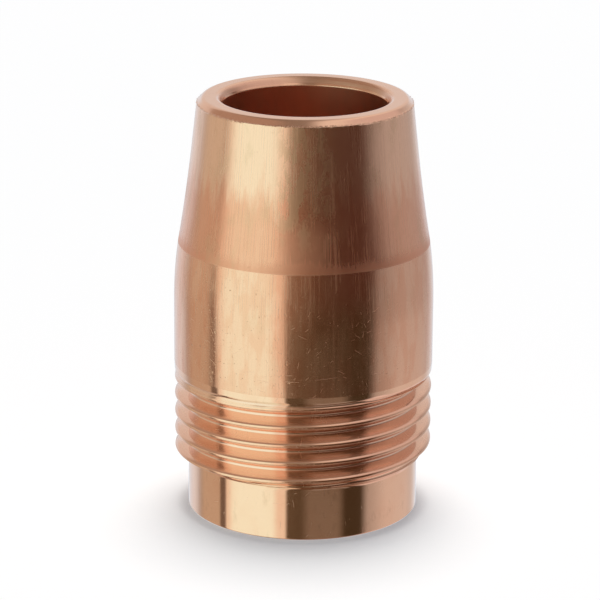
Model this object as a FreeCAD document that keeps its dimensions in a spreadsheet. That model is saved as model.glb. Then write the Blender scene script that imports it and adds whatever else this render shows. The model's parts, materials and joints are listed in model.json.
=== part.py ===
# Front nozzle of a gas-shielded welding torch, one piece of copper tube.
# The rear end is turned down and threaded, and the front end is swaged in to a narrower mouth.
# Lengths are in millimetres. The axis is Z, the rear face lies on Z = 0 and the mouth points up.
import FreeCAD, Part
import os
import Sketcher

# The driving dimensions: alias, value and meaning. Heights are measured from the rear face.
DIMENSIONS = [
    ("overall_length", 41.28, "rear face to mouth face"),
    ("tube_diameter", 25.40, "outside of the drawn tube"),
    ("spigot_diameter", 22.64, "plain rear end below the thread"),
    ("spigot_length", 5.30, "rear face to the lead chamfer of the thread"),
    ("thread_diameter", 25.30, "over the crests"),
    ("thread_pitch", 1.814, "fourteen turns to the inch"),
    ("thread_angle", 60.0, "between the flanks, in degrees"),
    ("thread_crest_flat", 0.33, "width left on top of a ridge"),
    ("thread_root_flat", 0.20, "width of the groove's floor"),
    ("thread_lead_in", 1.14, "how far below the lead chamfer the cutter starts"),
    ("relief_height", 13.65, "middle of the plain groove where the thread runs out"),
    ("relief_depth", 0.75, "thread crest to the plain groove's floor"),
    ("swage_height", 21.00, "where the tube starts to curve in"),
    ("crease_height", 26.90, "where the rounded shoulder meets the hollow nose"),
    ("crease_diameter", 24.56, "outside at the crease"),
    ("taper_height", 36.50, "where the hollow of the nose becomes a straight taper"),
    ("taper_diameter", 21.86, "outside at the start of the straight taper"),
    ("lip_diameter", 20.92, "outside at the lower edge of the lip chamfer"),
    ("lip_chamfer_width", 0.56, "across the mouth face"),
    ("lip_chamfer_height", 0.56, "along the axis"),
    ("mouth_diameter", 15.88, "the gas mouth, five eighths of an inch"),
    ("mouth_length", 10.30, "mouth face to the end of the straight mouth bore"),
    ("mouth_chamfer_width", 0.42, "across the mouth face"),
    ("mouth_chamfer_depth", 0.80, "along the bore"),
    ("rear_bore_diameter", 19.80, "inside of the drawn tube"),
    ("rear_bore_length", 24.50, "rear face to the start of the inner taper"),
    ("rear_edge_break", 0.10, "on the rear edge of the spigot"),
]

# Tangent of a thread flank's slope, as the sheet works it out.
FLANK_SLOPE = "tan(sheet.thread_angle / 2 * 1 deg)"


def make_sheet(doc):
    """Write the driving dimensions into a spreadsheet, one aliased cell each."""
    sheet = doc.addObject("Spreadsheet::Sheet", "sheet")
    sheet.Label = "driving dimensions"
    for row, (alias, value, meaning) in enumerate(DIMENSIONS, start=1):
        sheet.set("A%d" % row, alias)
        sheet.set("B%d" % row, str(value))
        sheet.set("C%d" % row, meaning)
        sheet.setAlias("B%d" % row, alias)
    doc.recompute()
    return sheet


def origin_feature(body, role):
    """Return the plane or axis of the body's own origin that has this role."""
    return next(feature for feature in body.Origin.OriginFeatures if feature.Role == role)


def section_sketch(body, name):
    """Add a sketch on the XZ plane: across is the radius, up is the height."""
    sketch = body.newObject("Sketcher::SketchObject", name)
    sketch.AttachmentSupport = [(origin_feature(body, "XZ_Plane"), "")]
    sketch.MapMode = "FlatFace"
    return sketch


def place_corners(doc, sketch, corners):
    """Set a construction point at each corner, driven by the formulas for its radius and height."""
    points = []
    for radius, height in corners:
        point = sketch.addGeometry(Part.Point(FreeCAD.Vector(1, 1, 0)), True)
        across = sketch.addConstraint(Sketcher.Constraint("DistanceX", -1, 1, point, 1, 1.0))
        sketch.setExpression("Constraints[%d]" % across, radius)
        up = sketch.addConstraint(Sketcher.Constraint("DistanceY", -1, 1, point, 1, 1.0))
        sketch.setExpression("Constraints[%d]" % up, height)
        points.append(point)
    doc.recompute()
    return points


def tangent_arc(start, end, heading):
    """Return the arc between start and end that leaves start along the unit vector heading."""
    chord = end - start
    normal = FreeCAD.Vector(-heading.y, heading.x, 0)
    radius = chord.Length ** 2 / (2 * chord.dot(normal))
    centre = start + normal * radius
    bow = (start + end) * 0.5 - centre
    middle = centre + bow * (abs(radius) / bow.Length)
    return Part.Arc(start, middle, end)


def draw_outline(sketch, points, arcs):
    """Join the points in a closed outline of straight edges and arcs.

    arcs maps a corner's place in the list to the side on which the arc that starts there is
    tangent: "before" for the edge that it follows, "after" for the edge that it runs into.
    """
    spots = [sketch.getPoint(point, 1) for point in points]
    count = len(points)
    edges = []
    ends = []
    for index in range(count):
        here = spots[index]
        there = spots[(index + 1) % count]
        if arcs.get(index) == "before":
            curve = tangent_arc(here, there, (here - spots[index - 1]).normalize())
        elif arcs.get(index) == "after":
            curve = tangent_arc(there, here, (there - spots[(index + 2) % count]).normalize())
        else:
            curve = Part.LineSegment(here, there)
        edge = sketch.addGeometry(curve, False)
        starts_here = (sketch.getPoint(edge, 1) - here).Length < (sketch.getPoint(edge, 1) - there).Length
        edges.append(edge)
        ends.append((1, 2) if starts_here else (2, 1))
    for index in range(count):
        following = (index + 1) % count
        first, last = ends[index]
        if arcs.get(index) == "before":
            join = Sketcher.Constraint("Tangent", edges[index], first, edges[index - 1], ends[index - 1][1])
        else:
            join = Sketcher.Constraint("Coincident", edges[index], first, points[index], 1)
        sketch.addConstraint(join)
        if arcs.get(index) == "after":
            join = Sketcher.Constraint("Tangent", edges[index], last, edges[following], ends[following][0])
        else:
            join = Sketcher.Constraint("Coincident", edges[index], last, points[following], 1)
        sketch.addConstraint(join)


def section(doc, body, name, corners, arcs=None):
    """Draw one closed section beside the axis, through corners given as formula pairs."""
    sketch = section_sketch(body, name)
    draw_outline(sketch, place_corners(doc, sketch, corners), arcs or {})
    doc.recompute()
    return sketch


def turn_tube(doc, body):
    """Revolve the wall of the tube, from the rear face round to the mouth and back down the bore.

    The turned zone is a little narrower than the tube, and its end falls in the relief groove.
    """
    corners = [
        ("sheet.rear_bore_diameter / 2", "0"),
        ("sheet.spigot_diameter / 2 - sheet.rear_edge_break", "0"),
        ("sheet.spigot_diameter / 2", "sheet.rear_edge_break"),
        ("sheet.spigot_diameter / 2", "sheet.spigot_length"),
        ("sheet.thread_diameter / 2",
         "sheet.spigot_length + (sheet.thread_diameter - sheet.spigot_diameter) / 2 * " + FLANK_SLOPE),
        ("sheet.thread_diameter / 2", "sheet.relief_height"),
        ("sheet.tube_diameter / 2", "sheet.relief_height"),
        ("sheet.tube_diameter / 2", "sheet.swage_height"),
        ("sheet.crease_diameter / 2", "sheet.crease_height"),
        ("sheet.taper_diameter / 2", "sheet.taper_height"),
        ("sheet.lip_diameter / 2", "sheet.overall_length - sheet.lip_chamfer_height"),
        ("sheet.lip_diameter / 2 - sheet.lip_chamfer_width", "sheet.overall_length"),
        ("sheet.mouth_diameter / 2 + sheet.mouth_chamfer_width", "sheet.overall_length"),
        ("sheet.mouth_diameter / 2", "sheet.overall_length - sheet.mouth_chamfer_depth"),
        ("sheet.mouth_diameter / 2", "sheet.overall_length - sheet.mouth_length"),
        ("sheet.rear_bore_diameter / 2", "sheet.rear_bore_length"),
    ]
    shoulder = 7
    nose = 8
    sketch = section(doc, body, "tube_wall", corners, {shoulder: "before", nose: "after"})
    tube = body.newObject("PartDesign::Revolution", "swaged_tube")
    tube.Profile = sketch
    tube.ReferenceAxis = (sketch, ["V_Axis"])
    tube.Angle = 360
    doc.recompute()
    return tube


def groove_corners(height, floor_radius, rim_radius, rim_half_width):
    """Give the four corners of a flat-floored V that lies on its side with its mouth outward."""
    half_floor = "sheet.thread_root_flat / 2"
    return [
        (floor_radius, "%s - %s" % (height, half_floor)),
        (rim_radius, "%s - (%s)" % (height, rim_half_width)),
        (rim_radius, "%s + (%s)" % (height, rim_half_width)),
        (floor_radius, "%s + %s" % (height, half_floor)),
    ]


def cut_relief(doc, body):
    """Turn the plain round groove in which the thread runs out."""
    floor_radius = "sheet.thread_diameter / 2 - sheet.relief_depth"
    rim_radius = "max(sheet.thread_diameter; sheet.tube_diameter) / 2 + sheet.thread_root_flat"
    rim_half_width = "sheet.thread_root_flat / 2 + (%s - (%s)) * %s" % (rim_radius, floor_radius, FLANK_SLOPE)
    corners = groove_corners("sheet.relief_height", floor_radius, rim_radius, rim_half_width)
    sketch = section(doc, body, "relief_cutter", corners)
    relief = body.newObject("PartDesign::Groove", "thread_relief")
    relief.Profile = sketch
    relief.ReferenceAxis = (sketch, ["V_Axis"])
    relief.Angle = 360
    doc.recompute()
    return relief


def cut_thread(doc, body):
    """Cut the right-hand thread: a V groove swept up a helix, from below the chamfer to the relief.

    The depth follows from the pitch, the angle and the two flats. The cutter stands a little
    proud of the crests, and its outline there keeps half a crest flat between two turns.
    """
    start = "(sheet.spigot_length - sheet.thread_lead_in)"
    depth = "(sheet.thread_pitch - sheet.thread_crest_flat - sheet.thread_root_flat) / 2 / " + FLANK_SLOPE
    proud = "sheet.thread_crest_flat / 4 / " + FLANK_SLOPE
    corners = groove_corners(
        start,
        "sheet.thread_diameter / 2 - " + depth,
        "sheet.thread_diameter / 2 + " + proud,
        "sheet.thread_pitch / 2 - sheet.thread_crest_flat / 4",
    )
    sketch = section(doc, body, "thread_cutter", corners)
    thread = body.newObject("PartDesign::SubtractiveHelix", "thread")
    thread.Profile = sketch
    thread.ReferenceAxis = (sketch, ["V_Axis"])
    thread.Mode = "pitch-height-angle"
    thread.LeftHanded = False
    thread.Reversed = False
    thread.setExpression("Pitch", "sheet.thread_pitch")
    thread.setExpression("Height", "sheet.relief_height - " + start)
    doc.recompute()
    return thread


def check(doc):
    """Stop if any object failed, or if the finished body isn't one valid solid."""
    for item in doc.Objects:
        if "Invalid" in item.State or "Error" in item.State:
            raise RuntimeError("%s failed: %s" % (item.Label, item.State))
    for body in doc.findObjects("PartDesign::Body"):
        if body.Shape.isNull() or not body.Shape.isValid():
            raise RuntimeError(body.Label + " has no valid shape")
        if len(body.Shape.Solids) != 1:
            raise RuntimeError(body.Label + " isn't one solid")


def main():
    doc = FreeCAD.newDocument("torch_nozzle")
    make_sheet(doc)
    body = doc.addObject("PartDesign::Body", "nozzle_body")
    body.Label = "nozzle_body"
    volumes = []
    for step in (turn_tube, cut_relief, cut_thread):
        feature = step(doc, body)
        volumes.append(feature.Shape.Volume)
        print("%-14s %9.1f mm3" % (feature.Label, volumes[-1]))
    if not volumes[0] > volumes[1] > volumes[2]:
        raise RuntimeError("a groove cut nothing")
    check(doc)
    os.makedirs("parts", exist_ok=True)
    body.Shape.exportStep(os.path.join("parts", body.Label + ".step"))
    print(body.Label, "written,", len(body.Shape.Faces), "faces")


main()
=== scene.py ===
# %% [markdown]
# # A copper gas nozzle for a welding torch
# The nozzle is one piece of drawn copper tube. Its rear end was turned down in a lathe and
# threaded, its front end was pressed inwards until it became a slim cone, and the mouth was faced
# clean. This notebook turns the same part as one closed mesh, gives each zone the finish that its
# last tool left, and sets it on a white table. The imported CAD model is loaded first. It fixes the
# size and the place of everything that follows.

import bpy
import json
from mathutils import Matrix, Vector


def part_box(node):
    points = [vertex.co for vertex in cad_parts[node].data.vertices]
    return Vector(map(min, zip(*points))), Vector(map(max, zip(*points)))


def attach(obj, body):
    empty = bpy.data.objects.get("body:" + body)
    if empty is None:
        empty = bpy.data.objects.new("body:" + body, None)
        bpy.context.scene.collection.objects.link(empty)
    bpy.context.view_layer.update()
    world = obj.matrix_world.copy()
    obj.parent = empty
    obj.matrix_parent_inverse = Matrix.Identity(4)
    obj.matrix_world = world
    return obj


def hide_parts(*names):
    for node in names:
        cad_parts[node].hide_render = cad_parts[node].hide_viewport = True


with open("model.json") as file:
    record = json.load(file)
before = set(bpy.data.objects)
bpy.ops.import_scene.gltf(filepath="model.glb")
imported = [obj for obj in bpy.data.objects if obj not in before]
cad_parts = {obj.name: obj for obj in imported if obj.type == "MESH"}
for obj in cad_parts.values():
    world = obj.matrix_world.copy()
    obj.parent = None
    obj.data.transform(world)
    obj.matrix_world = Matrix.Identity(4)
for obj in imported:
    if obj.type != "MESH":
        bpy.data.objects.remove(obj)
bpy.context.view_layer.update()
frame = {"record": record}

# %% [markdown]
# ## Sums that become nodes
# Both the shape and the finishes are formulas. Wiring Math nodes by hand hides a formula, so one
# small class stands for the number in a socket and has Python's operators: `1 - mask` adds the
# Subtract node and gives its output. The reflected forms, such as `__rsub__`, are what Python
# calls when a plain number stands on the left.

# %% A value in a socket
import json
import math

import bpy
from mathutils import Matrix, Vector


class Value:
    """The number, vector or colour in one output socket of a node tree."""

    def __init__(self, graph, socket):
        self.graph = graph
        self.socket = socket

    def out(self, name):
        """Give another output of the same node."""
        return Value(self.graph, self.socket.node.outputs[name])

    def math(self, operation, *others):
        """Add a Math node that has no operator, such as MAXIMUM, with this value as its first."""
        return self.graph.math(operation, self, *others)

    def __add__(self, other):
        return self.graph.math("ADD", self, other)

    def __radd__(self, other):
        return self.graph.math("ADD", other, self)

    def __sub__(self, other):
        return self.graph.math("SUBTRACT", self, other)

    def __rsub__(self, other):
        return self.graph.math("SUBTRACT", other, self)

    def __mul__(self, other):
        return self.graph.math("MULTIPLY", self, other)

    def __rmul__(self, other):
        return self.graph.math("MULTIPLY", other, self)

    def __truediv__(self, other):
        return self.graph.math("DIVIDE", self, other)

    def __rtruediv__(self, other):
        return self.graph.math("DIVIDE", other, self)


print("a value in a socket can be added, subtracted, multiplied and divided")

# %% [markdown]
# ## One way to add a node
# Every other node comes from one method. It sets the node's own settings first and its sockets
# after that, because a setting such as the data type decides which sockets there are. A few
# shapes of curve come back again and again in the finishes, so they get names of their own:
# `step` is a smooth edge, `band` is what lies between two edges, and `blend` mixes two colours.

# %% A tree that grows by formulas
class Graph:
    """A node tree in which every node is made by the method node."""

    def __init__(self, tree):
        self.tree = tree

    def node(self, kind, settings=None, inputs=None, output=0):
        """Add a node: its settings, then its sockets by name or number, and give one output.

        A Value is linked, a list of Values goes into one socket, and all else is a plain value.
        """
        made = self.tree.nodes.new(kind)
        for name, value in (settings or {}).items():
            setattr(made, name, value)
        for key, value in (inputs or {}).items():
            if not isinstance(value, (Value, list)):
                made.inputs[key].default_value = value
                continue
            for source in [value] if isinstance(value, Value) else value:
                self.tree.links.new(source.socket, made.inputs[key])
        return Value(self, made.outputs[output]) if made.outputs else None

    def math(self, operation, *terms):
        """Add a Math node."""
        return self.node("ShaderNodeMath", {"operation": operation}, dict(enumerate(terms)))

    def vector(self, operation, *terms, output=0):
        """Add a Vector Math node. Its number, where it has one, is the output called Value."""
        settings = {"operation": operation}
        return self.node("ShaderNodeVectorMath", settings, dict(enumerate(terms)), output)

    def step(self, value, start, end):
        """Rise smoothly from 0 at start to 1 at end. With start above end it falls instead."""
        sockets = {"Value": value, "From Min": start, "From Max": end}
        return self.node("ShaderNodeMapRange", {"interpolation_type": "SMOOTHSTEP"}, sockets)

    def band(self, value, low, high, soft):
        """Give 1 between low and high, with edges that are soft wide, and 0 outside."""
        rise = self.step(value, low - soft / 2, low + soft / 2)
        return rise * self.step(value, high + soft / 2, high - soft / 2)

    def blend(self, factor, first, second, mode="MIX"):
        """Mix two colours: all first at factor 0, all second at factor 1."""
        settings = {"data_type": "RGBA", "blend_type": mode}
        sockets = {0: factor, 6: first, 7: second}
        return self.node("ShaderNodeMix", settings, sockets, output=2)


print("a graph can step, band and blend")

# %% [markdown]
# ## The sizes
# Everything that the CAD model states is read from the frame: the length and the tube from its
# box, and the bores, the spigot and the thread from its mounts. The rest of the outline is
# repeated here in millimetres, measured from the rear face, because a mesh can't tell where a
# curve starts. Sizes of the part have small letters, and settings of this script have capitals.

# %% Read the sizes
MM = 0.001
low_corner, high_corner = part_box("nozzle_body")
mounts = {mount["name"]: mount for mount in frame["record"]["mounts"]}


def mount_end(name, side):
    """Give the height in mm of one end of a mount: side is -1 for the lower, 1 for the upper."""
    mount = mounts[name]
    return mount["pos_m"][2] / MM + side * mount["dims"]["length_mm"] / 2


length = (high_corner.z - low_corner.z) / MM
tube_radius = (high_corner.x - low_corner.x) / MM / 2
spigot_radius = mounts["spigot"]["dims"]["r_mm"]
thread_radius = mounts["thread"]["dims"]["r_mm"]
mouth_radius = mounts["mouth_bore"]["dims"]["r_mm"]
rear_bore_radius = mounts["rear_bore"]["dims"]["r_mm"]
rear_bore_top = mount_end("rear_bore", 1)
mouth_bore_bottom = mount_end("mouth_bore", -1)
mouth_bore_top = mount_end("mouth_bore", 1)
print("length %.2f, tube radius %.2f, mouth radius %.2f" % (length, tube_radius, mouth_radius))

# %% Heights and radii of the outline, in mm
spigot_top = 5.30
turned_top = 14.87
swage_height = 21.00
crease_height = 26.90
crease_radius = 12.28
taper_height = 36.50
taper_radius = 10.93
lip_radius = 10.46
lip_chamfer = 0.56
mouth_chamfer_width = 0.42
rear_edge_break = 0.10
edge_round = 0.05
lip_edge_height = length - lip_chamfer
print("the lip's chamfer starts %.2f mm above the rear face" % lip_edge_height)

# %% Sizes of the thread, in mm
thread_pitch = 1.814
half_pitch = thread_pitch / 2
first_groove_height = 4.16
root_radius = 11.538
root_flat = 0.26
root_hollow = 1.3
flank_bend = 0.30
bent_width = 0.30
crest_crown = 0.9
crown_shift = 0.05
run_out_height = 13.55
relief_height = 14.02
relief_radius = 12.43
FLANK_SLOPE = 1 / math.tan(math.radians(30))
root_edge = root_flat / 2
crest_edge = root_edge + (thread_radius - root_radius) / FLANK_SLOPE + flank_bend * bent_width / 2
print("the groove is %.2f mm wide at the top, %.2f mm at the root" % (2 * crest_edge, root_flat))

# %% [markdown]
# ## One copper, three finishes
# Copper shows its maker: each tool leaves its own marks. Three materials share the metal and
# differ in their marks: turned, drawn and bore. The patterns are worked out from the place on the
# part, in millimetres, so they need no picture and run round without a seam. Noise that changes
# slowly along the tube gives drawing lines, and noise that changes slowly round it gives rings.
# Fine wear scatters some light and leaves the rest, so a rougher copper is mixed in by a share.
# Directions are in degrees: 0 is the side towards the camera, 90 the right, and 180 the back.

# %% Colours of copper
BRIGHT_COPPER = (0.95, 0.57, 0.40, 1.0)
HANDLED_COPPER = (0.89, 0.462, 0.304, 1.0)
HEATED_COPPER = (0.84, 0.375, 0.235, 1.0)
DULL_COPPER = (0.72, 0.46, 0.29, 1.0)
CUT_COPPER = (0.96, 0.61, 0.46, 1.0)
# dirt on smudges, nicks and dots, and also the colour of the painted shade in the bore and at the
# mouth
DIRT_AND_SHADE = (0.30, 0.16, 0.08, 1.0)
HAZE_ROUGHNESS = 0.40
print("red falls from %.2f on bright copper to %.2f on dull" % (BRIGHT_COPPER[0], DULL_COPPER[0]))


# %% Where a point lies on the part
class PlaceOnPart(Graph):
    """A material in the making, which knows the place of the shaded point in millimetres."""

    def __init__(self, name):
        self.material = bpy.data.materials.new(name)
        self.material.use_nodes = True
        super().__init__(self.material.node_tree)
        self.tree.nodes.clear()
        metres = self.node("ShaderNodeTexCoord").out("Object")
        scaled = {0: metres, "Scale": 1 / MM}
        here = self.node("ShaderNodeVectorMath", {"operation": "SCALE"}, scaled)
        self.height = self.node("ShaderNodeSeparateXYZ", inputs={0: here}).out("Z")
        self.across = self.vector("MULTIPLY", here, (1.0, 1.0, 0.0))
        self.facing = self.vector("NORMALIZE", self.across)
        self.round_way = self.vector("CROSS_PRODUCT", (0.0, 0.0, 1.0), self.facing)
        on_tube = self.vector("MULTIPLY", self.facing, (tube_radius, tube_radius, 0.0))
        up_tube = self.node("ShaderNodeCombineXYZ", inputs={"Z": self.height})
        self.point = self.vector("ADD", on_tube, up_tube)

    def noise(self, scale, around=1.0, upward=1.0, detail=2.0, rough=0.5, shift=0.0):
        """Give noise from 0 to 1, with scale grains in a mm, times the factor of each way."""
        factors = (around, around, upward)
        point = self.vector("MULTIPLY_ADD", self.point, factors, (shift, shift, shift))
        sockets = {"Vector": point, "Scale": scale, "Detail": detail, "Roughness": rough}
        return self.node("ShaderNodeTexNoise", inputs=sockets)

    def near(self, direction, spread):
        """Give 1 on the side that lies in a direction, and 0 from spread degrees away."""
        angle = math.radians(direction)
        heading = (math.sin(angle), -math.cos(angle), 0.0)
        ahead = self.vector("DOT_PRODUCT", self.facing, heading, output="Value")
        return self.step(ahead, math.cos(math.radians(spread)), 1.0)


print("a finish knows its height, its side and its noise")

# %% [markdown]
# ## Scattered marks
# Nicks and dots are short, straight and lie anywhere. A Voronoi texture cuts the surface into
# cells and gives each one a place and a random colour. One mark is drawn at each place: the red of
# the colour turns it, the green sets its length, and the blue decides if it is there at all. The
# same class ends a finish, with a clear copper and a hazy one mixed by how worn the point is.

# %% Marks, and the two coppers of a finish
SHORTEST_MARK = 0.4
MARK_ENDS = 0.5
MARK_CORE = 0.3


class CopperFinish(PlaceOnPart):
    """A copper material, from its marks to its output."""

    def marks(self, spacing, long, half_width, share, turn, spread, shift):
        """Scatter short straight marks, sized in mm: one in a cell, on a share of the cells.

        They lie turn degrees from level, give or take spread, and shift picks another scatter.
        """
        moved = self.vector("ADD", self.point, (shift, shift, shift))
        sockets = {"Vector": moved, "Scale": 1 / spacing}
        cell = self.node("ShaderNodeTexVoronoi", inputs=sockets, output="Position")
        luck = self.node("ShaderNodeSeparateColor", inputs={0: cell.out("Color")})
        offset = self.vector("SUBTRACT", moved, cell)
        sideways = self.vector("DOT_PRODUCT", offset, self.round_way, output="Value")
        upwards = self.node("ShaderNodeSeparateXYZ", inputs={0: offset}).out("Z")
        angle = (luck.out("Red") - 0.5) * math.radians(2 * spread) + math.radians(turn)
        sine, cosine = angle.math("SINE"), angle.math("COSINE")
        along = (sideways * cosine + upwards * sine).math("ABSOLUTE")
        aside = (upwards * cosine - sideways * sine).math("ABSOLUTE")
        reach = (SHORTEST_MARK + luck.out("Green") * (1 - SHORTEST_MARK)) * (long / 2)
        mark = self.step(along, reach, reach * MARK_ENDS)
        mark = mark * self.step(aside, half_width, half_width * MARK_CORE)
        return mark * luck.out("Blue").math("LESS_THAN", share)

    def finish(self, colour, roughness, relief, haze):
        """End the material: relief is a height in mm, haze the share of the rougher copper."""
        bump = self.node("ShaderNodeBump", inputs={"Distance": MM, "Height": relief})
        clear = {"Base Color": colour, "Metallic": 1.0, "Roughness": roughness, "Normal": bump}
        hazy = {**clear, "Roughness": HAZE_ROUGHNESS}
        mixed = self.node("ShaderNodeMixShader", inputs={
            0: haze,
            1: self.node("ShaderNodeBsdfPrincipled", inputs=clear),
            2: self.node("ShaderNodeBsdfPrincipled", inputs=hazy),
        })
        self.node("ShaderNodeOutputMaterial", inputs={"Surface": mixed})
        print("made", self.material.name, "with", len(self.tree.nodes), "nodes")
        return self.material


print("a mark is at least %.0f per cent of its full length" % (100 * SHORTEST_MARK))

# %% [markdown]
# ## Turned copper
# A sharp tool leaves bright metal with hair-fine rings round the axis. This finish covers the
# spigot, the thread, the band above it and the lip. On the thread the place alone can't tell a
# crest from a flank, so the mesh carries a number called from_groove: 1 in the middle of the
# groove, 2 in the middle of the crest, and 0 off the thread. The flanks keep the colour of a fresh
# cut, the edges of the crests are rubbed hazy, and a few dirty nicks mark the crests at the front.
# The lip was faced last, and its inner edge is painted darker at the back, as shade into the bore.

# %% Masks of the turned zones
ZONE_EDGE = 0.1
THREAD_SPAN = (5.9, 14.1)


def crest_masks(copper, in_thread):
    """Give the flat top of the crests, and the edges beside it that rub in the torch's thread."""
    stored = {"attribute_name": "from_groove"}
    from_groove = copper.node("ShaderNodeAttribute", stored, output="Fac")
    crest_share = 2 - (half_pitch - crest_edge) / half_pitch
    on_crest = copper.step(from_groove, crest_share + 0.02, crest_share + 0.05) * in_thread
    rubbed = copper.step(from_groove, 1.35, crest_share) * in_thread * (1 - on_crest)
    return on_crest, rubbed


def lip_burr(copper, radius):
    """Give the torn line that facing pushed over the lip's lower edge, strongest at the front."""
    at_lip = copper.band(copper.height, lip_edge_height - 0.08, lip_edge_height + 0.08, 0.06)
    at_lip = at_lip * copper.step(radius, lip_radius - 0.25, lip_radius - 0.15)
    crumbs = copper.noise(4.0, upward=0.6, detail=3.0, rough=0.8, shift=5.0)
    burr = copper.step(crumbs, 0.48, 0.56) * at_lip
    return burr * (0.2 + copper.near(direction=4.0, spread=26.0) * 0.8)


print("the turned zones end at the lip, %.2f mm up" % lip_edge_height)


# %% Turned copper
def turned_copper():
    """The spigot, the thread, the band above it and the lip, as the lathe left them."""
    copper = CopperFinish("turned_copper")
    radius = copper.vector("LENGTH", copper.across, output="Value")
    rings = copper.noise(12.0, around=0.05, detail=3.0)
    film = copper.noise(0.35)
    smudge = copper.noise(1.1, upward=0.5, detail=4.0, rough=0.6, shift=7.0)
    smudge = copper.step(smudge, 0.56, 0.72)
    on_lip = copper.step(copper.height, lip_edge_height - ZONE_EDGE, lip_edge_height)
    hairs = copper.marks(spacing=1.1, long=1.1, half_width=0.020, share=0.25,
                         turn=60.0, spread=60.0, shift=3.0)
    hairs = hairs * (1 - on_lip)
    in_thread = copper.band(copper.height, *THREAD_SPAN, 2 * ZONE_EDGE)
    flank = copper.step(radius, thread_radius - 0.05, thread_radius - 0.12) * in_thread
    on_crest, rubbed = crest_masks(copper, in_thread)
    speckle = copper.noise(5.0, upward=2.0, rough=0.7, shift=11.0)
    nicks = copper.step(speckle, 0.56, 0.64) * copper.near(direction=-1.0, spread=9.0) * on_crest
    burr = lip_burr(copper, radius)
    mouth_edge = copper.step(radius, mouth_radius + 0.6, mouth_radius + 0.3) * on_lip
    # painted shade: the mouth's inner edge is darkened at the back, where it turns down into the
    # bore
    painted_shade = mouth_edge * copper.near(direction=150.0, spread=60.0) * 0.28
    colour = copper.blend(copper.step(film, 0.40, 0.75) * 0.35, BRIGHT_COPPER, HANDLED_COPPER)
    colour = copper.blend(smudge * 0.12, colour, DIRT_AND_SHADE)
    colour = copper.blend(flank.math("MAXIMUM", on_lip * 0.6), colour, CUT_COPPER)
    colour = copper.blend(on_crest * 0.15, colour, HANDLED_COPPER)
    colour = copper.blend(nicks * 0.8, colour, DIRT_AND_SHADE)
    colour = copper.blend(painted_shade, colour, DIRT_AND_SHADE)
    roughness = 0.075 + flank * 0.02 + on_crest * 0.04 + on_lip * 0.09 + mouth_edge * 0.15
    roughness = roughness + (rings - 0.5) * 0.06 + smudge * 0.04
    roughness = roughness + hairs * 0.25 + nicks * 0.3 + burr * 0.45
    relief = rings * 0.0004 - hairs * 0.0015 - nicks * 0.03 + burr * 0.10
    haze = 0.04 + flank * 0.08 + rubbed * 0.30 + on_crest * 0.04 + mouth_edge * 0.15 + burr * 0.6
    return copper.finish(colour, roughness, relief, haze)


turned = turned_copper()

# %% [markdown]
# ## Drawn copper
# The tube was pulled through a die, which left fine lines along it. The die that then pressed the
# nose inwards rubbed those lines hazy just above the crease. The lower half of the nose is redder,
# as heat leaves copper, with a ragged edge below the bright top. Other parts in a bin left dots,
# nicks and scores, most of them low on the body. A picture of all this would be seen to repeat, so
# each kind of mark is a mask of its own, named for its cause, and fades over a span of heights.

# %% Spans of height, in mm: no mark at the first number, all of it at the second
LOW_NOSE = (37.0, 29.0)
REDDENED_NOSE = (36.0, 32.0)
STAINED_NOSE = (27.5, 32.0)
RUBBED_NOSE = (33.5, 30.0)
UP_TO_CREASE = (20.0, 24.5)
DOWN_TO_CREASE = (34.0, 28.0)
DOTTED_BODY = (28.0, 24.0)
NICKED_BODY = (26.5, 22.5)
SCORED_BODY = (19.5, 17.0)
EDGE_RAGGED = 10.0
print("the redder copper starts between %.0f and %.0f mm up" % REDDENED_NOSE)


# %% Marks along the tube
def drawing_streaks(copper, on_nose):
    """Give the hazy streaks of the drawing die, in patches and strongest by the crease."""
    lines = copper.noise(8.0, upward=0.012, rough=0.6, shift=13.0)
    patches = copper.noise(0.9, upward=0.3, shift=1.0)
    streaks = copper.step(lines, 0.48, 0.64) * copper.step(patches, 0.38, 0.60)
    by_crease = copper.step(copper.height, *UP_TO_CREASE)
    by_crease = by_crease * copper.step(copper.height, *DOWN_TO_CREASE)
    return streaks * (0.15 + on_nose * 0.25 + by_crease * 0.6)


def heat_tint(copper, on_nose, drips):
    """Give the redder copper of the lower nose, stronger on the left, and the dull clouds."""
    cloud = copper.noise(0.45, upward=0.5, detail=4.0, rough=0.6, shift=3.0)
    heated = copper.step(copper.height + (drips - 0.5) * EDGE_RAGGED, *REDDENED_NOSE) * on_nose
    dull = copper.step(cloud, 0.50, 0.72) * (0.35 + on_nose * 0.4)
    left_side = copper.near(direction=-28.0, spread=45.0)
    return heated * (0.33 + cloud * 0.6 + left_side * 0.22), dull


print("marks along the tube: streaks, reddened copper and dull clouds")


# %% Marks from the bin
def dots_on_tube(copper):
    """Give the round dots, crowded on the left of the front and faint on the nose."""
    crowd = copper.step(copper.noise(0.35, shift=8.0), 0.50, 0.66) * 0.6
    crowd = crowd.math("MAXIMUM", copper.near(direction=-40.0, spread=40.0))
    small = copper.marks(spacing=0.75, long=0.18, half_width=0.05, share=0.42,
                         turn=30.0, spread=90.0, shift=2.0)
    large = copper.marks(spacing=2.2, long=0.34, half_width=0.10, share=0.45,
                         turn=30.0, spread=90.0, shift=4.0)
    dots = (small * crowd).math("MAXIMUM", large * (0.3 + crowd * 0.7))
    return dots * (0.25 + copper.step(copper.height, *DOTTED_BODY) * 0.75)


def nicks_on_tube(copper):
    """Give nicks of three lengths, faint above the crease."""
    short = copper.marks(spacing=0.45, long=0.34, half_width=0.020, share=0.36,
                         turn=20.0, spread=90.0, shift=5.0)
    middling = copper.marks(spacing=1.2, long=0.9, half_width=0.020, share=0.40,
                            turn=70.0, spread=60.0, shift=12.0)
    long = copper.marks(spacing=1.9, long=1.3, half_width=0.022, share=0.35,
                        turn=5.0, spread=40.0, shift=6.0)
    nicks = (short * 0.5).math("MAXIMUM", middling * 0.8).math("MAXIMUM", long)
    return nicks * (0.10 + copper.step(copper.height, *NICKED_BODY) * 0.90)


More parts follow.
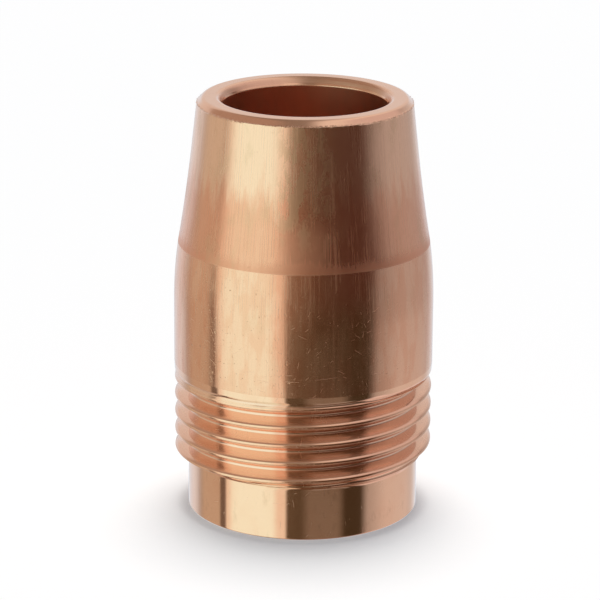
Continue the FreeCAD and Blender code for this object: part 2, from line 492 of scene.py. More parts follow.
def scores_on_tube(copper):
    """Give the nearly level scores low on the body."""
    scores = copper.marks(spacing=2.3, long=2.6, half_width=0.025, share=0.45,
                          turn=0.0, spread=10.0, shift=9.0)
    return scores * copper.step(copper.height, *SCORED_BODY)


print("marks from the bin: dots, nicks and scores")


# %% Drawn copper
def drawn_copper():
    """The outside of the tube, from the turned end to the lip."""
    copper = CopperFinish("drawn_copper")
    height = copper.height
    on_nose = copper.step(height, crease_height - 0.04, crease_height + 0.04)
    low_nose = on_nose * copper.step(height, *LOW_NOSE)
    grain = copper.noise(4.5, upward=0.02, detail=4.0, rough=0.85)
    drips = copper.noise(0.9, upward=0.25, detail=5.0, rough=0.65, shift=17.0)
    stain = copper.noise(0.7, upward=0.5, detail=4.0, rough=0.68, shift=21.0)
    pressed = on_nose * copper.step(height - grain * 1.2, crease_height + 0.9, crease_height - 0.5)
    streaks = drawing_streaks(copper, on_nose)
    heated, dull = heat_tint(copper, on_nose, drips)
    front = copper.near(direction=1.0, spread=18.0)
    stained = front * copper.step(stain, 0.45, 0.55) * copper.step(height, *STAINED_NOSE)
    dots, nicks, scores = dots_on_tube(copper), nicks_on_tube(copper), scores_on_tube(copper)
    wiped = copper.step(drips, 0.42, 0.58) * 0.55
    body_copper = copper.blend(wiped, HANDLED_COPPER, BRIGHT_COPPER)
    nose_copper = copper.blend(heated, BRIGHT_COPPER, HEATED_COPPER)
    nose_copper = copper.blend(pressed * 0.6, nose_copper, HEATED_COPPER)
    colour = copper.blend(on_nose, body_copper, nose_copper)
    colour = copper.blend((dull * 0.5).math("MAXIMUM", stained * 0.7), colour, DULL_COPPER)
    colour = copper.blend(dots * 0.35, colour, DIRT_AND_SHADE)
    roughness = 0.14 + on_nose * 0.05 + pressed * 0.18 + (grain - 0.5) * 0.30
    roughness = roughness + streaks * 0.06 + dull * 0.12
    roughness = (roughness + dots * 0.25 + nicks * 0.22 + scores * 0.25).math("MAXIMUM", 0.06)
    relief = grain * (0.003 + low_nose * 0.005) + streaks * 0.0012
    relief = relief - dots * 0.006 - nicks * 0.003 - scores * 0.003
    rubbed_crease = pressed * (0.12 + copper.near(direction=-6.0, spread=19.0) * 0.5)
    rubbed_nose = low_nose * copper.near(direction=0.0, spread=15.0)
    rubbed_nose = rubbed_nose * copper.step(height, *RUBBED_NOSE)
    haze = 0.05 + rubbed_crease + streaks * 0.65 + stained * 0.36
    haze = haze + rubbed_nose * 0.75 + nicks * 0.35 + scores * 0.3
    return copper.finish(colour, roughness, relief, haze)


drawn = drawn_copper()

# %% [markdown]
# ## Bore copper
# No cloth reaches the inside. It is duller than the outside, with fine lines along the tube, and
# its colour is painted darker on the right and at the back, as shade inside the tube. The camera
# sees only its first few millimetres, but the same finish runs through to the rear end.

# %% Bore copper
def bore_copper():
    """The inside, from the rear face to the mouth."""
    copper = CopperFinish("bore_copper")
    stain = copper.noise(0.5, upward=0.7, detail=4.0)
    grain = copper.noise(4.0, upward=0.06, detail=3.0, rough=0.6, shift=4.0)
    colour = copper.blend(copper.step(stain, 0.3, 0.8) * 0.3, HEATED_COPPER, DULL_COPPER)
    # painted shade: the inside is darkened on the right and at the back, where shade falls in the
    # tube
    painted_shade = copper.near(direction=125.0, spread=115.0) * (0.26 + stain * 0.26)
    colour = copper.blend(painted_shade, colour, DIRT_AND_SHADE)
    roughness = 0.35 + (grain - 0.5) * 0.12
    relief = grain * 0.002 + stain * 0.002
    return copper.finish(colour, roughness, relief, 0.10)


bore = bore_copper()

# %% [markdown]
# ## The section
# A turned part is fully told by one line: half of its section. The line starts on the bright band
# above the thread, climbs the tube and the nose, goes over the lip, down the bore and out under
# the rear face, and ends on the spigot below the thread. The shoulder and the hollow of the nose
# are arcs that meet in the crease.

# %% Draw the section
def arc_points(start, end, heading, steps):
    """Give points on the arc from start to end that leaves start along heading, without start."""
    chord = end - start
    normal = Vector((-heading.y, heading.x))
    radius = chord.length_squared / (2 * chord.dot(normal))
    centre = start + normal * radius
    spoke = start - centre
    sweep = spoke.angle_signed(end - centre)
    points = []
    for step in range(1, steps + 1):
        angle = -sweep * step / steps
        points.append(centre + Matrix.Rotation(angle, 2) @ spoke)
    return points


SHOULDER_STEPS = 8
HOLLOW_STEPS = 10
shoulder_start = Vector((tube_radius, swage_height))
crease = Vector((crease_radius, crease_height))
taper_start = Vector((taper_radius, taper_height))
lip_edge = Vector((lip_radius, lip_edge_height))
taper_heading = (taper_start - lip_edge).normalized()
shoulder = arc_points(shoulder_start, crease, Vector((0, 1)), SHOULDER_STEPS)
hollow = arc_points(taper_start, crease, taper_heading, HOLLOW_STEPS)[-2::-1]
thread_bottom = spigot_top - 0.3
thread_top = turned_top - 0.35
band_slope = 0.05
band_bottom_radius = tube_radius - band_slope * (turned_top - thread_top)
corners = [
    Vector((band_bottom_radius, thread_top)),
    Vector((tube_radius, turned_top)),
    shoulder_start,
    *shoulder,
    *hollow,
    taper_start,
    lip_edge,
    Vector((lip_radius - lip_chamfer, length)),
    Vector((mouth_radius + mouth_chamfer_width, length)),
    Vector((mouth_radius, mouth_bore_top)),
    Vector((mouth_radius, mouth_bore_bottom)),
    Vector((rear_bore_radius, rear_bore_top)),
    Vector((rear_bore_radius, 0)),
    Vector((spigot_radius - rear_edge_break, 0)),
    Vector((spigot_radius, rear_edge_break)),
    Vector((spigot_radius, thread_bottom)),
]
print("the section has", len(corners), "corners and arc points")

# %% [markdown]
# ## Rounding the section
# Real edges are never knife sharp, and metal shows it: a rounded edge catches a thin line of
# light. So each sharp corner becomes a small arc, widest on the mouth's face. A row on each side
# of the arc, called a guard here, keeps the long faces flat, because smooth shading would
# otherwise bend the light across the whole tube. A Bevel modifier could round edges too, but here
# each corner gets its own radius while the outline is still a line.

# %% Round the corners
SHARP_TURN = math.radians(10)
SLIGHT_TURN = math.radians(1.3)
GUARD = 0.08
LIP_ROUND = 0.55
MOUTH_ROUND = 0.20
LIP_STEPS = 6
EDGE_STEPS = 3


def rounded(before, corner, after, radius, steps):
    """Give the points in a corner's place: an arc that touches both sides, with its guards."""
    inward = (before - corner).normalized()
    outward = (after - corner).normalized()
    cut = radius / math.tan(inward.angle(outward) / 2)
    start = corner + inward * cut
    arc = arc_points(start, corner + outward * cut, -inward, steps)
    first = corner + inward * min(cut + GUARD, (before - corner).length / 2)
    last = corner + outward * min(cut + GUARD, (after - corner).length / 2)
    return [first, start, *arc, last]


def guarded(before, corner, after):
    """Keep a slight corner, with a guard point on each side."""
    first = corner + (before - corner).normalized() * GUARD
    last = corner + (after - corner).normalized() * GUARD
    return [first, corner, last]


def round_section(corners):
    """Round every sharp corner, guard every slight one, and keep the points of the arcs."""
    section = [corners[0]]
    for before, corner, after in zip(corners, corners[1:], corners[2:]):
        bend = (corner - before).angle(after - corner)
        if bend > SHARP_TURN:
            on_lip = corner.y > length - GUARD
            at_mouth = corner.y > taper_height
            wanted = LIP_ROUND if on_lip else MOUTH_ROUND if at_mouth else edge_round
            room = min((corner - before).length, (after - corner).length) * 0.45
            radius = min(wanted, room * math.tan((math.pi - bend) / 2))
            steps = LIP_STEPS if on_lip else EDGE_STEPS
            section += rounded(before, corner, after, radius, steps)
        elif bend > SLIGHT_TURN:
            section += guarded(before, corner, after)
        else:
            section.append(corner)
    return section + [corners[-1]]


section = round_section(corners)
section_points = [(point.x * MM, 0, point.y * MM) for point in section]
section_edges = [(index, index + 1) for index in range(len(section) - 1)]
section_mesh = bpy.data.meshes.new("nozzle_section")
section_mesh.from_pydata(section_points, section_edges, [])
nozzle = bpy.data.objects.new("copper_nozzle", section_mesh)
bpy.context.scene.collection.objects.link(nozzle)
print("the rounded section has", len(section), "points")

# %% [markdown]
# ## Turning the section and cutting the thread
# Geometry Nodes do what the lathe does. One grid is rolled into a tube whose rows read their
# radius and height from the section. A second grid fills the gap that the section leaves for the
# thread. Its rows climb with the helix, one pitch for each turn, so that every crest and root has
# a row of its own and stays crisp, and the rows that would climb out of the gap are held at its
# two rings. The rows stand close together where the thread bends and far apart on its flanks.

# %% Where the thread's rows lie
EDGE_ROWS = (-0.020, -0.007, 0.007, 0.020)
ROOT_ROWS = (-0.105, -0.05, -0.015, 0.0, 0.015)
QUARTERS = (1, 2, 3)
flank_rows = [root_edge + (crest_edge - root_edge) * part / 4 for part in QUARTERS]
crest_rows = [crest_edge + (half_pitch - crest_edge) * part / 4 for part in QUARTERS]
half_turn_rows = [0.0, *(root_edge + shift for shift in ROOT_ROWS), *flank_rows]
half_turn_rows += [*(crest_edge + shift for shift in EDGE_ROWS), *crest_rows, half_pitch]
row_places = half_turn_rows + [thread_pitch - place for place in half_turn_rows[-2::-1]]
rows_per_turn = len(row_places) - 1
crest_width = 2 * (half_pitch - crest_edge)
print("one turn has %d rows, and its crest is %.2f mm wide" % (rows_per_turn, crest_width))

# %% The lathe tree and its named inputs
lathe = bpy.data.node_groups.new("turn_and_thread", "GeometryNodeTree")
lathe.interface.new_socket("Geometry", in_out="INPUT", socket_type="NodeSocketGeometry")
lathe.interface.new_socket("Geometry", in_out="OUTPUT", socket_type="NodeSocketGeometry")
settings = {}


def named_input(name, value):
    """Add a named input to the lathe tree and remember its identifier and its value."""
    kind = "NodeSocketInt" if isinstance(value, int) else "NodeSocketFloat"
    socket = lathe.interface.new_socket(name, in_out="INPUT", socket_type=kind)
    settings[socket.identifier] = value
    return name


SEGMENTS = named_input("Segments", 288)
SECTION_POINTS = named_input("Section points", len(section))
PITCH = named_input("Thread pitch", thread_pitch)
ROWS_PER_TURN = named_input("Rows per turn", rows_per_turn)
CREST_RADIUS = named_input("Crest radius", thread_radius)
CREST_CROWN = named_input("Crest crown", crest_crown)
CROWN_SHIFT = named_input("Crown below the middle", crown_shift)
ROOT_RADIUS = named_input("Root radius", root_radius)
ROOT_FLAT = named_input("Root flat", root_flat)
ROOT_HOLLOW = named_input("Root hollow", root_hollow)
FLANK_BEND = named_input("Flank bend", flank_bend)
BENT_WIDTH = named_input("Width of the bent flank", bent_width)
SPIGOT_RADIUS = named_input("Spigot radius", spigot_radius)
FIRST_GROOVE = named_input("First groove height", first_groove_height)
LEAD_HEIGHT = named_input("Lead chamfer height", spigot_top)
RUN_OUT = named_input("Run-out height", run_out_height)
RELIEF_HEIGHT = named_input("Relief height", relief_height)
RELIEF_RADIUS = named_input("Relief floor radius", relief_radius)
BURR = named_input("Burr at the lip", 0.11)
BURR_HEIGHT = named_input("Burr height", lip_edge_height)
BAND_RADIUS = named_input("Band radius", band_bottom_radius)
BAND_SLOPE = named_input("Band slope", band_slope)
LOW_RING = named_input("Low ring", thread_bottom)
HIGH_RING = named_input("High ring", thread_top)
graph = Graph(lathe)
given = graph.node("NodeGroupInput")
print("the lathe tree has", len(settings), "named inputs")


# %% Roll a grid into a tube
FULL_TURN = 2 * math.pi


def rolled_grid(columns, rows):
    """Add a flat grid, and give it with its share round the axis and up the rows, both 0 to 1."""
    sockets = {"Size X": 1.0, "Size Y": 1.0, "Vertices X": columns, "Vertices Y": rows}
    grid = graph.node("GeometryNodeMeshGrid", inputs=sockets)
    place = graph.node("GeometryNodeInputPosition")
    share = graph.node("ShaderNodeSeparateXYZ", inputs={0: place})
    return grid, share.out("X") + 0.5, share.out("Y") + 0.5


def set_round(grid, around, radius, height):
    """Move the grid's points to a radius and height in mm, at a share of the whole turn."""
    angle = around * FULL_TURN
    place_there = graph.node("ShaderNodeCombineXYZ", inputs={
        "X": radius * angle.math("COSINE") * MM,
        "Y": radius * angle.math("SINE") * MM,
        "Z": height * MM,
    })
    sockets = {"Geometry": grid, "Position": place_there}
    return graph.node("GeometryNodeSetPosition", inputs=sockets)


columns = given.out(SEGMENTS) + 1
tube_grid, tube_around, tube_up = rolled_grid(columns, given.out(SECTION_POINTS))
section_index = (tube_up * (given.out(SECTION_POINTS) - 1)).math("ROUND")
section_point = graph.node("GeometryNodeSampleIndex", {"data_type": "FLOAT_VECTOR"}, {
    "Geometry": given.out("Geometry"),
    "Value": graph.node("GeometryNodeInputPosition"),
    "Index": section_index,
})
section_place = graph.node("ShaderNodeSeparateXYZ", inputs={0: section_point})
tube_height = section_place.out("Z") / MM
print("the tube's grid reads", len(section), "points of the section")

# %% [markdown]
# ## The burr at the lip
# Facing the mouth pushed a thin torn burr over the lip's lower edge. It is real metal that stands
# out by a tenth of a millimetre, so it is shaped and not only painted. Noise that is sampled on a
# circle joins up with itself where the turn closes.

# %% Turn the tube with its burr
BURR_GRAIN = 46.0
BURR_REACH = 0.07
BURR_FLAT = 0.01
turn_of_tube = tube_around * FULL_TURN
on_circle = graph.node("ShaderNodeCombineXYZ", inputs={
    "X": turn_of_tube.math("COSINE"),
    "Y": turn_of_tube.math("SINE"),
    "Z": 0.5,
})
ragged = graph.node("ShaderNodeTexNoise", inputs={
    "Vector": on_circle,
    "Scale": BURR_GRAIN,
    "Detail": 1.0,
})
rolled_over = graph.step(ragged, 0.42, 0.66) * given.out(BURR)
from_lip_edge = (tube_height - given.out(BURR_HEIGHT)).math("ABSOLUTE")
at_burr = graph.step(from_lip_edge, BURR_REACH, BURR_FLAT)
tube_section_radius = section_place.out("X") / MM + rolled_over * at_burr
turned_tube = set_round(tube_grid, tube_around, tube_section_radius, tube_height)
print("the burr reaches %.2f mm up and down from the lip's edge" % BURR_REACH)

# %% [markdown]
# ## The thread as a height field
# There are two usual ways to make a thread: sweep a V along a helix and cut it out, or move the
# points of a tube in and out. The second never tears, so it is used here. The rows come first. A
# Float Curve spaces them within each turn, and the place round the axis is added to the climb, so
# that the rows rise by one pitch in a turn.

# %% Rows that climb with the helix
pitch = given.out(PITCH)
first_groove = given.out(FIRST_GROOVE)
low_ring, high_ring = given.out(LOW_RING), given.out(HIGH_RING)
turns = ((high_ring - low_ring) / pitch + 1).math("CEIL") + 1
rows = turns * given.out(ROWS_PER_TURN) + 1
thread_grid, around, up = rolled_grid(columns, rows)
first_row = first_groove - ((first_groove - low_ring) / pitch + 1).math("CEIL") * pitch
climb = up * turns
row_curve = graph.node("ShaderNodeFloatCurve", inputs={"Value": climb.math("FRACT")})
mapping = row_curve.socket.node.mapping
for index, place in enumerate(row_places[1:-1], start=1):
    mapping.curves[0].points.new(index / rows_per_turn, place / thread_pitch)
for point in mapping.curves[0].points:
    point.handle_type = "VECTOR"
mapping.update()
climb = climb.math("FLOOR") + row_curve
height = first_row + (around + climb) * pitch
height = height.math("MAXIMUM", low_ring).math("MINIMUM", high_ring)
print("the row curve has", len(mapping.curves[0].points), "points")

# %% [markdown]
# ## What each tool leaves
# The radius of a point is the smallest that any tool leaves there: the V tool cuts the groove, a
# chamfer leads the thread in from the spigot, and a wider groove, the relief, lets it run out.
# Each tool is a formula in the height and the distance from the groove's middle. A real thread
# isn't made of flat planes: its flanks flatten towards a hollow root, and its crests are slightly
# crowned.

# %% The groove
RUN_OUT_SOFT = 0.12
groove_phase = (height - first_groove) / pitch - around
from_groove = groove_phase.math("WRAP", 0.5, -0.5) * pitch
from_middle = from_groove.math("ABSOLUTE")
half_flat = given.out(ROOT_FLAT) / 2
groove_height = height - from_groove
run_out = graph.step(groove_height, given.out(RUN_OUT), given.out(RUN_OUT) - RUN_OUT_SOFT)
up_flank = (from_middle - half_flat).math("MAXIMUM", 0.0)
bent = up_flank.math("MINIMUM", given.out(BENT_WIDTH))
bent = bent - bent * bent / (given.out(BENT_WIDTH) * 2)
flank = (up_flank - bent * given.out(FLANK_BEND)) * FLANK_SLOPE
in_root = from_middle.math("MINIMUM", half_flat)
flank = flank + in_root * in_root * given.out(ROOT_HOLLOW)
groove = given.out(ROOT_RADIUS) + flank + (1 - run_out) * pitch
print("the groove's flanks rise %.2f mm for each mm of width" % FLANK_SLOPE)

# %% The crest and the band above it
MOST_CROWN = 0.05
BAND_EDGE = 0.05
above_crest = (groove_phase + 0.5).math("WRAP", 0.5, -0.5) * pitch + given.out(CROWN_SHIFT)
crown = above_crest * above_crest * given.out(CREST_CROWN)
crowned = given.out(CREST_RADIUS) - crown.math("MINIMUM", MOST_CROWN)
relief_top = given.out(RELIEF_HEIGHT)
band_radius = given.out(BAND_RADIUS) + (height - high_ring) * given.out(BAND_SLOPE)
on_band = graph.step(height, relief_top, relief_top + BAND_EDGE)
crest = crowned + on_band * (band_radius - crowned)
print("the crests lose at most %.2f mm to their crown" % MOST_CROWN)

# %% The lead, the relief and the smallest of all
BLEND = 0.02
SAME_HEIGHT = 0.001
lead = given.out(SPIGOT_RADIUS) + (height - given.out(LEAD_HEIGHT)) * FLANK_SLOPE
lead = lead.math("SMOOTH_MAX", given.out(SPIGOT_RADIUS), BLEND)
relief_flank = (height - given.out(RELIEF_HEIGHT)).math("ABSOLUTE")
relief = given.out(RELIEF_RADIUS) + relief_flank * FLANK_SLOPE
radius = groove.math("MINIMUM", crest)
radius = radius.math("SMOOTH_MIN", lead, BLEND).math("SMOOTH_MIN", relief, BLEND)
at_ring = height.math("COMPARE", high_ring, SAME_HEIGHT)
radius = radius + at_ring * (given.out(BAND_RADIUS) - radius)
per_point = {"data_type": "FLOAT", "domain": "POINT"}
marked = graph.node("GeometryNodeStoreNamedAttribute", per_point, {
    "Geometry": thread_grid,
    "Name": "from_groove",
    "Value": from_middle * (2 / pitch) + 1,
})
cut_thread = set_round(marked, around, radius, height)
print("the lathe tree has", len(lathe.nodes), "nodes so far")

# %% [markdown]
# ## Weld, smooth and finish
# The tube's grid and the thread's grid meet point for point at two rings, and each closes on
# itself, so merging by distance leaves one closed skin. Each zone then gets the finish of its last
# tool, chosen by its height and its distance from the axis.

# %% Weld the grids and give each zone its finish
WELD_DISTANCE = 2e-6
ZONE_MARGIN = 0.02
joined = graph.node("GeometryNodeJoinGeometry", inputs={"Geometry": [turned_tube, cut_thread]})
welded = graph.node("GeometryNodeMergeByDistance", inputs={
    "Geometry": joined,
    "Distance": WELD_DISTANCE,
})
smooth = graph.node("GeometryNodeSetShadeSmooth", inputs={"Geometry": welded})
real = graph.node("GeometryNodeRealizeInstances", inputs={"Geometry": smooth})
spot = graph.node("ShaderNodeSeparateXYZ", inputs={0: graph.node("GeometryNodeInputPosition")})
from_axis = (spot.out("X") * spot.out("X") + spot.out("Y") * spot.out("Y")).math("SQRT") / MM
up_the_axis = spot.out("Z") / MM
on_tube = up_the_axis.math("GREATER_THAN", turned_top + ZONE_MARGIN)
on_tube = on_tube * up_the_axis.math("LESS_THAN", lip_edge_height - edge_round / 2)
in_bore = from_axis.math("LESS_THAN", rear_bore_radius + ZONE_MARGIN)
in_bore = in_bore * up_the_axis.math("LESS_THAN", mouth_bore_top - edge_round)


def set_finish(geometry, material, **selection):
    """Give faces a material: all of them, or those of a selection."""
    sockets = {"Geometry": geometry, "Material": material, **selection}
    return graph.node("GeometryNodeSetMaterial", inputs=sockets)


shown = set_finish(real, turned)
shown = set_finish(shown, drawn, Selection=on_tube)
shown = set_finish(shown, bore, Selection=in_bore)
graph.node("NodeGroupOutput", inputs={"Geometry": shown})
print("the lathe tree has", len(lathe.nodes), "nodes")

# %% [markdown]
# ## Running the lathe
# The modifier's inputs are set by identifier before the object is first evaluated, because a name
# may be given twice and an identifier can't. The result is kept as a plain mesh, so the piece no
# longer depends on the tree. It stands for the CAD model's one node and rides on its one body.

# %% Run the lathe
modifier = nozzle.modifiers.new("turn", "NODES")
modifier.node_group = lathe
for identifier, value in settings.items():
    modifier[identifier] = value
evaluated = nozzle.evaluated_get(bpy.context.evaluated_depsgraph_get())
finished_mesh = bpy.data.meshes.new_from_object(evaluated)
nozzle.modifiers.clear()
nozzle.data = finished_mesh
finished_mesh.name = "copper_nozzle"
finished_mesh.calc_loop_triangles()
triangles = len(finished_mesh.loop_triangles)
print("the nozzle has", len(finished_mesh.vertices), "points and", triangles, "triangles")

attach(nozzle, "root")
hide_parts("nozzle_body")

# %% [markdown]
# ## The studio
# Polished metal has no look of its own: it shows the room. The photograph's stripes are the room
# read backwards, so the world is a small studio of plain panels, placed by compass direction and
# by the angle above the horizon. Zero is the camera's side, and degrees grow to the right. A large
# white softbox stands on the left, the camera's side is dark, the right and back walls are pale,
# and a dark gap parts the softbox from the left wall. A picture of a room would do this too, but
# panels can be named and moved one by one.

# %% Directions in the studio
world = bpy.data.worlds.new("studio")
bpy.context.scene.world = world
world.use_nodes = True
world.node_tree.nodes.clear()
world.cycles.sampling_method = "NONE"
studio = Graph(world.node_tree)
direction = studio.node("ShaderNodeTexCoord").out("Generated")
looking = studio.node("ShaderNodeSeparateXYZ", inputs={0: direction})
DEGREES = math.degrees(1)
compass = studio.math("ARCTAN2", looking.out("X"), looking.out("Y") * -1.0) * DEGREES
rise = looking.out("Z").math("ARCSINE") * DEGREES
off_front = compass.math("ABSOLUTE")


def hang(room, colour, start, end, soft, strength=1.0):
    """Hang a panel between two compass directions, in front of the room so far."""
    return studio.blend(studio.band(compass, start, end, soft) * strength, room, colour)


print("a ray's compass direction and rise take", len(world.node_tree.nodes), "nodes")

# %% Colours of the panels
WHITE = (1.0, 1.0, 1.0, 1.0)
FRONT_LEFT = (0.105, 0.080, 0.048, 1.0)
FRONT_LEFT_HIGH = (0.155, 0.108, 0.072, 1.0)
FRONT_RIGHT = (0.055, 0.041, 0.022, 1.0)
FRONT_RIGHT_HIGH = (0.078, 0.040, 0.029, 1.0)
TABLE_GLOW = (0.22, 0.19, 0.15, 1.0)
TABLE_NEAR = (0.34, 0.33, 0.31, 1.0)
BACK_WALL = (0.77, 0.87, 0.96, 1.0)
BACK_WALL_HIGH = (0.73, 0.69, 0.65, 1.0)
LEFT_WALL = (0.54, 0.48, 0.38, 1.0)
LEFT_WALL_LOW = (0.56, 0.54, 0.49, 1.0)
LEFT_WALL_HIGH = (0.61, 0.60, 0.51, 1.0)
RIGHT_WALL = (0.67, 0.67, 0.66, 1.0)
RIGHT_WALL_LOW = (0.79, 0.77, 0.81, 1.0)
RIGHT_WALL_HIGH = (0.47, 0.48, 0.49, 1.0)
SOFTBOX = (0.98, 1.27, 1.18, 1.0)
SOFTBOX_RIM = (0.90, 0.90, 0.79, 1.0)
SKIRT = (0.46, 0.35, 0.26, 1.0)
GAP = (0.16, 0.125, 0.10, 1.0)
CEILING = (0.41, 0.31, 0.245, 1.0)
CEILING_FRONT = (0.26, 0.22, 0.18, 1.0)
TOP_LAMP = (0.80, 0.75, 0.69, 1.0)
TOP_LAMP_END = (0.66, 0.58, 0.56, 1.0)
LOW_TINT = (0.86, 0.80, 0.76, 1.0)
DARK_BELOW = (0.27, 0.18, 0.125, 1.0)
DARK_BELOW_FRONT = (0.11, 0.065, 0.035, 1.0)
print("the softbox is %.0f times as bright as the front" % (SOFTBOX[1] / FRONT_RIGHT[1]))

# %% [markdown]
# ## Walls
# A tube mirrors the room round it: its middle shows the side where the camera stands, and its
# edges show the back wall. The nose leans back, so it mirrors a higher part of the room than the
# body does, and each wall has a colour for each height. Where the photograph's stripes are soft,
# the walls run into each other over many degrees.

# %% The dark front and the back wall
lower = studio.step(rise, -4.0, -18.0)
lowest = studio.step(rise, -22.5, -28.0)
table_edge = studio.step(rise, -19.3, -20.5)
far_left = studio.blend(lower, FRONT_LEFT_HIGH, FRONT_LEFT)
far_right = studio.blend(lower, FRONT_RIGHT_HIGH, FRONT_RIGHT)
room = studio.blend(studio.step(compass, -20.0, 45.0), far_left, far_right)
room = hang(room, TABLE_GLOW, start=3.0, end=40.0, soft=12.0, strength=table_edge)
back_wall = studio.blend(studio.step(rise, 4.0, 14.0), BACK_WALL, BACK_WALL_HIGH)
round_back = (compass - 6.0).math("ABSOLUTE") - 6.0
room = studio.blend(studio.step(round_back, 106.0, 144.0), room, back_wall)
print("front and back are up, with", len(world.node_tree.nodes), "nodes")

# %% The side walls
LEAN = 3.4
left_wall = studio.blend(lower, LEFT_WALL_HIGH, LEFT_WALL)
left_wall = studio.blend(lowest, left_wall, LEFT_WALL_LOW)
room = hang(room, left_wall, start=-124.0, end=-86.0, soft=18.0)
tilted = compass - (rise + 3.0).math("MAXIMUM", 0.0) * LEAN
right_side = studio.step(tilted, 59.5, 71.0) * 0.6 + studio.step(tilted, 64.0, 98.0) * 0.4
right_side = right_side.math("MAXIMUM", studio.step(compass, 64.0, 72.0) * lowest)
right_side = right_side * studio.step(compass, 168.0, 128.0)
right_wall = studio.blend(studio.step(rise, -15.0, -21.0), RIGHT_WALL_HIGH, RIGHT_WALL)
right_wall = studio.blend(lowest, right_wall, RIGHT_WALL_LOW)
room = studio.blend(right_side, room, right_wall)
print("the right wall's edge leans by %.1f degrees for each degree of rise" % LEAN)

# %% [markdown]
# ## The softbox
# The broad white stripe on the left of the nozzle is a softbox. It is brighter than white, because
# copper returns only part of what it mirrors. Its rim is dimmer, a warm skirt of light reaches
# from it towards the camera's side, and the dark gap stands on its left.

# %% The softbox, its rim and its skirt
gap_strength = 0.12 + studio.step(rise, -4.0, -20.0) * 0.88
room = hang(room, GAP, start=-91.0, end=-83.0, soft=3.0, strength=gap_strength)
skirt_side = studio.step(compass, 14.0, -14.0) * studio.step(compass, -60.0, -40.0)
skirt_glow = studio.step(rise, -21.0, -16.0) * 0.30 + studio.step(rise, -2.0, 3.0) * 0.32
room = studio.blend(skirt_side * skirt_glow, room, SKIRT)
rim_start = -83.0 - studio.step(rise, -6.0, -2.0) * 3.5
room = hang(room, SOFTBOX_RIM, start=rim_start, end=-16.0, soft=4.0)
room = hang(room, SOFTBOX, start=-77.0, end=-27.0, soft=9.0)
low_tint = studio.blend(studio.step(rise, -33.0, -39.0), WHITE, LOW_TINT)
room = studio.blend(1.0, room, low_tint, "MULTIPLY")
near_table = studio.step(rise, -26.0, -31.0)
room = hang(room, TABLE_NEAR, start=12.0, end=50.0, soft=7.0, strength=near_table)
print("the softbox is hung, with", len(world.node_tree.nodes), "nodes")

# %% [markdown]
# ## Above and below
# The body never looks up or down, but the lip's chamfers and the thread's flanks do. Above them is
# a warm ceiling with a lamp on its right half. Rays that go steeply down would meet the table in
# the nozzle's own shadow, so a dark colour stands there.

# %% The ceiling, its lamp and the dark below
sideways = looking.out("X")
top_lamp = studio.blend(studio.step(sideways, 0.38, 0.52), TOP_LAMP, TOP_LAMP_END)
ceiling = studio.blend(studio.step(sideways, -0.36, -0.14), CEILING, CEILING_FRONT)
overhead = studio.blend(studio.step(sideways, 0.0, 0.22), ceiling, top_lamp)
behind = studio.step(off_front, 125.0, 150.0)
by_softbox = studio.band(compass, -83.0, -16.0, 8.0)
above_walls = rise - behind * 16.0 - by_softbox * 6.0
room = studio.blend(studio.step(above_walls, 14.0, 26.0), room, overhead)
below = studio.blend(studio.step(off_front, 55.0, 80.0), DARK_BELOW_FRONT, DARK_BELOW)
room = studio.blend(studio.step(rise, -46.0, -64.0) * (1 - by_softbox), room, below)
print("the room is closed, with", len(world.node_tree.nodes), "nodes")

# %% [markdown]
# ## Who sees the studio
# Only mirrored rays see the panels. The camera sees plain white behind the table, and matt
# surfaces get a faint even light from the world, because the lamp above the table lights them.
# The Light Path node tells the kinds of ray apart.

# %% The world's output
AMBIENT = (0.05, 0.05, 0.055, 1.0)
ray = studio.node("ShaderNodeLightPath")
seen = studio.blend(ray.out("Is Diffuse Ray"), WHITE, AMBIENT)
seen = studio.blend(ray.out("Is Glossy Ray"), seen, room)
background = studio.node("ShaderNodeBackground", inputs={"Color": seen, "Strength": 1.0})
studio.node("ShaderNodeOutputWorld", inputs={"Surface": background})
print("the studio has", len(world.node_tree.nodes), "nodes")

# %% [markdown]
# ## The table and its lamp
# The table is matt white, and it shines a little by itself: that lift keeps the shadow as pale as
# a white room does. The lift is cool and the lamp warm by the same amount, so the open table is
# white, while the cooler shadow makes up for the copper's warm glow on it. The lamp is a sun with
# a wide disc, which gives a shadow that is sharp where the nozzle stands and soft further out.
# Neither is seen in the copper, which mirrors the studio's panels in their place.

# %% The table
TABLE_SIZE = 4.0
TABLE_WHITE = 0.8
TABLE_LIFT = 0.31
COOL_LIFT = (0.89, 1.0, 1.10, 1.0)
half = TABLE_SIZE / 2
table_corners = [(-half, -half, 0), (half, -half, 0), (half, half, 0), (-half, half, 0)]
table_mesh = bpy.data.meshes.new("table")
table_mesh.from_pydata(table_corners, [], [(0, 1, 2, 3)])
table = bpy.data.objects.new("table", table_mesh)
bpy.context.scene.collection.objects.link(table)
table.visible_glossy = False
table_paint = bpy.data.materials.new("table_white")
table_paint.use_nodes = True
table_paint.node_tree.nodes.clear()
paint = Graph(table_paint.node_tree)
white_paint = (TABLE_WHITE, TABLE_WHITE, TABLE_WHITE, 1.0)
matt = paint.node("ShaderNodeBsdfDiffuse", inputs={"Color": white_paint})
lift = paint.node("ShaderNodeEmission", inputs={"Color": COOL_LIFT, "Strength": TABLE_LIFT})
both = paint.node("ShaderNodeAddShader", inputs={0: matt, 1: lift})
paint.node("ShaderNodeOutputMaterial", inputs={"Surface": both})
table_mesh.materials.append(table_paint)
print("the table is", TABLE_SIZE, "metres wide")

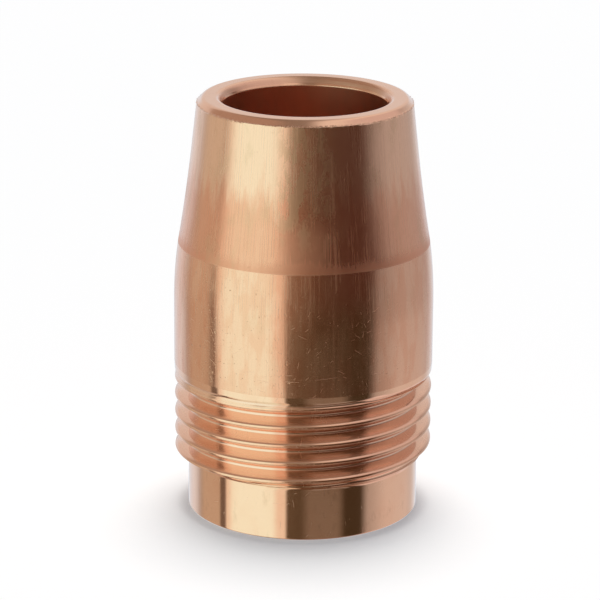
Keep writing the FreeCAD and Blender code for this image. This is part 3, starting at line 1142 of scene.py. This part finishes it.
# %% The lamp above the table
LAMP_SPREAD = math.radians(27)
LAMP_TILT = math.radians(-9.5)
LAMP_LEAN = math.radians(0.7)
lamp_share = 1 - TABLE_LIFT - TABLE_WHITE * AMBIENT[0]
lamp_data = bpy.data.lights.new("top_lamp", "SUN")
lamp_data.angle = LAMP_SPREAD
lamp_data.color = [1 + TABLE_LIFT * (1 - part) / lamp_share for part in COOL_LIFT[:3]]
lamp_data.energy = lamp_share * math.pi / TABLE_WHITE
lamp = bpy.data.objects.new("top_lamp", lamp_data)
lamp.visible_glossy = False
lamp.rotation_euler.x = LAMP_TILT
lamp.rotation_euler.y = LAMP_LEAN
bpy.context.scene.collection.objects.link(lamp)
print("the lamp gives the table %.0f per cent of its light" % (100 * lamp_share))

# %% [markdown]
# ## The camera
# The photograph was taken with a long lens from a little above. The camera's place was solved
# from the round base, the two edges of the mouth and the outline, and is given in millimetres from
# the centre of the rear face. Its three axes are built one turn at a time: left or right, then
# down, and last a slight roll.

# %% The camera
CAMERA_DISTANCE = 286.54
CAMERA_HEIGHT = 108.475
PITCH_DOWN = math.radians(17.019)
ROLL = math.radians(0.4143)
YAW = math.radians(-0.0721)
FOCAL_PIXELS = 3056.9
FRAME_PIXELS = 600
SENSOR = 36.0
side = Vector((math.cos(YAW), -math.sin(YAW), 0))
level = Vector((math.sin(YAW), math.cos(YAW), 0))
forward = level * math.cos(PITCH_DOWN) - Vector((0, 0, math.sin(PITCH_DOWN)))
upright = level * math.sin(PITCH_DOWN) + Vector((0, 0, math.cos(PITCH_DOWN)))
right = side * math.cos(ROLL) + upright * math.sin(ROLL)
upward = upright * math.cos(ROLL) - side * math.sin(ROLL)
camera_data = bpy.data.cameras.new("camera")
camera_data.sensor_width = SENSOR
camera_data.lens = SENSOR * FOCAL_PIXELS / FRAME_PIXELS
camera = bpy.data.objects.new("camera", camera_data)
bpy.context.scene.collection.objects.link(camera)
camera_turn = Matrix((right, upward, -forward)).transposed().to_4x4()
camera_place = Matrix.Translation((0, -CAMERA_DISTANCE * MM, CAMERA_HEIGHT * MM))
camera.matrix_world = camera_place @ camera_turn
bpy.context.scene.camera = camera
bpy.context.scene.view_settings.view_transform = "Standard"
print("the lens is %.0f mm long" % camera_data.lens)
